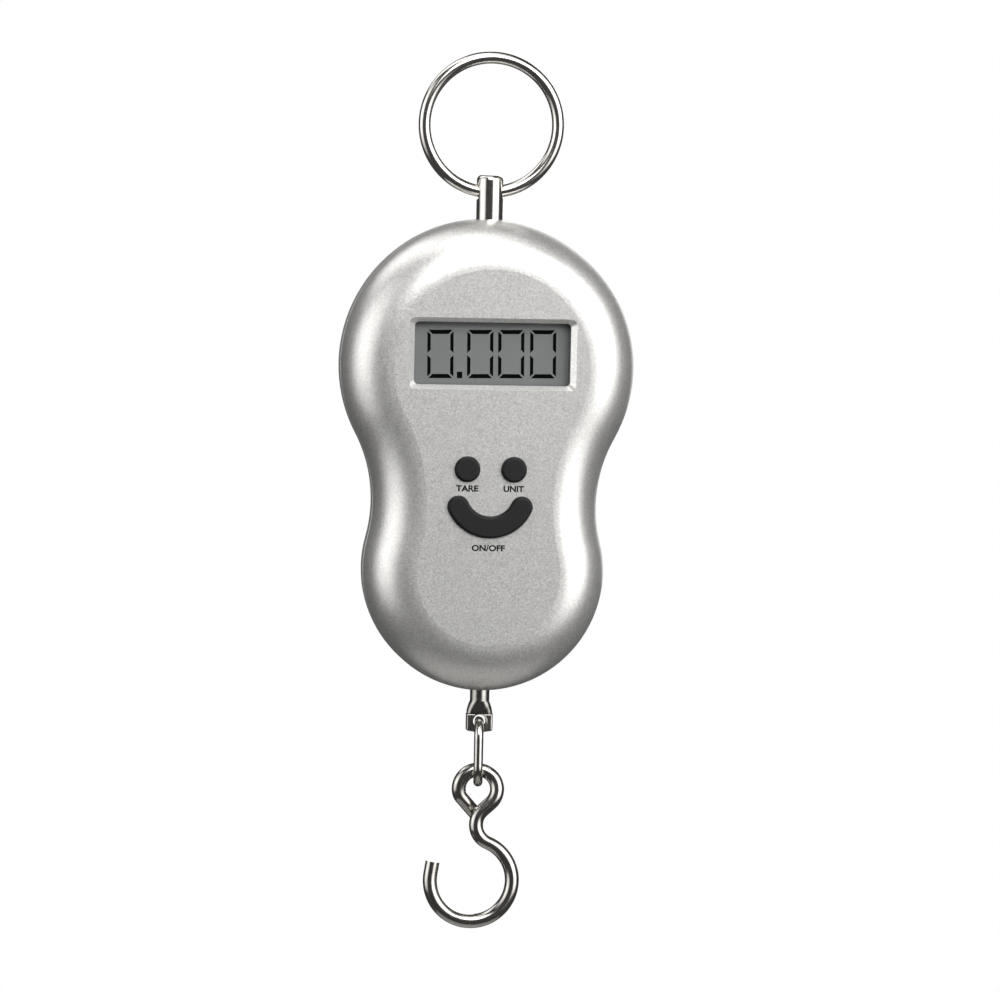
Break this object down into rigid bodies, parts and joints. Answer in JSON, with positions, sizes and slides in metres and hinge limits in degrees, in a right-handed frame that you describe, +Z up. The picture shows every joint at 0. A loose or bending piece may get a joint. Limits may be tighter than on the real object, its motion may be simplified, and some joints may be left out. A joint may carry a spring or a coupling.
{
  "type": "digital luggage scale",
  "caption": "Hand-held hanging scale with a waisted silver casing, a display window, rubber keys, a hand ring above and a bent wire hook on a link below.",
  "frame": {"origin": "inner top of the hand ring, where the hand lifts", "axes": "+Z up along the load axis with the scale hanging, +Y out of the back, +X to the right seen from the front"},
  "size_m": [0.0602, 0.026, 0.1803],
  "materials": {
    "silver_paint": "silver metallic paint on moulded plastic, satin",
    "clear_lens": "clear acrylic window",
    "black_tape": "thin adhesive tape",
    "display_glass": "display glass",
    "display_film": "grey polarising film",
    "strip_rubber": "layered conductive rubber",
    "white_plastic": "moulded white plastic",
    "board_green": "glass-fibre board, green solder mask",
    "black_epoxy": "cast epoxy drop",
    "chip_ceramic": "tinned ceramic chips",
    "tin_can": "tinned sheet steel",
    "black_plastic": "moulded black nylon",
    "key_rubber": "moulded black silicone, satin",
    "cell_aluminium": "machined, fine mill marks",
    "gauge_foil": "foil on amber film",
    "sealant": "white silicone",
    "nickel_plate": "bright nickel plate on steel",
    "hook_plate": "bright nickel plate on bent wire",
    "rod_steel": "drawn and pressed steel",
    "zinc_steel": "zinc plate",
    "contact_nickel": "nickel-plated spring steel",
    "battery_sleeve": "shrink film",
    "wire_pvc": "PVC insulation",
    "solder": "solder"
  },
  "bodies": {
    "casing": {"front_cover": "silver_paint", "rear_cover": "silver_paint", "lcd_lens": "clear_lens", "lens_tape": "black_tape", "lcd_glass": "display_glass", "lcd_films": "display_film", "elastomer_strips": "strip_rubber", "lcd_holder": "white_plastic", "circuit_board": "board_green", "chip_blob": "black_epoxy", "board_chips": "chip_ceramic", "crystal": "tin_can", "switch_bases": "black_plastic", "switch_covers": "tin_can", "load_cell": "cell_aluminium", "strain_gauges": "gauge_foil", "gauge_sealant": "sealant", "ring_post": "nickel_plate", "lock_washer": "zinc_steel", "battery_cans": "tin_can", "battery_sleeves": "battery_sleeve", "battery_springs": "contact_nickel", "battery_plates": "contact_nickel", "battery_wires": "wire_pvc", "cell_wires": "wire_pvc", "solder_joints": "solder", "case_screws": "zinc_steel", "cell_screws": "zinc_steel", "board_screws": "zinc_steel"},
    "hand_ring": {"hand_ring": "nickel_plate"},
    "tare_key": {"tare_key": "key_rubber", "tare_plunger": "black_plastic"},
    "unit_key": {"unit_key": "key_rubber", "unit_plunger": "black_plastic"},
    "power_key": {"power_key": "key_rubber", "power_plunger": "black_plastic"},
    "battery_door": {"battery_door": "silver_paint"},
    "hook_rod": {"pull_rod": "rod_steel", "rod_clip": "zinc_steel", "thrust_washer": "zinc_steel"},
    "link": {"link": "hook_plate"},
    "hook": {"hook": "hook_plate"}
  },
  "joints": [
    {"name": "ring_swing", "type": "hinge", "parent": "casing", "child": "hand_ring", "pos_m": [0, 0, -0.02625], "axis": [1, 0, 0], "range_deg": [-115, 115]},
    {"name": "tare_press", "type": "slide", "parent": "casing", "child": "tare_key", "axis": [0, 1, 0], "range_m": [0, 0.00025], "stiffness_N_per_m": 3200},
    {"name": "unit_press", "type": "slide", "parent": "casing", "child": "unit_key", "axis": [0, 1, 0], "range_m": [0, 0.00025], "stiffness_N_per_m": 3200},
    {"name": "power_press", "type": "slide", "parent": "casing", "child": "power_key", "axis": [0, 1, 0], "range_m": [0, 0.00025], "stiffness_N_per_m": 3200},
    {"name": "battery_door_tilt", "type": "hinge", "parent": "casing", "child": "battery_door", "pos_m": [0, 0.013, -0.0635], "axis": [1, 0, 0], "range_deg": [0, 45]},
    {"name": "rod_swivel", "type": "hinge", "parent": "casing", "child": "hook_rod", "pos_m": [0, 0, -0.06], "axis": [0, 0, 1], "continuous": true},
    {"name": "link_swing", "type": "hinge", "parent": "hook_rod", "child": "link", "pos_m": [0, 0, -0.135], "axis": [0.1132, 0.9936, 0], "range_deg": [-80, 80]},
    {"name": "hook_swing", "type": "hinge", "parent": "link", "child": "hook", "pos_m": [0, 0, -0.14515], "axis": [0.9936, -0.1132, 0], "range_deg": [-80, 80]}
  ]
}
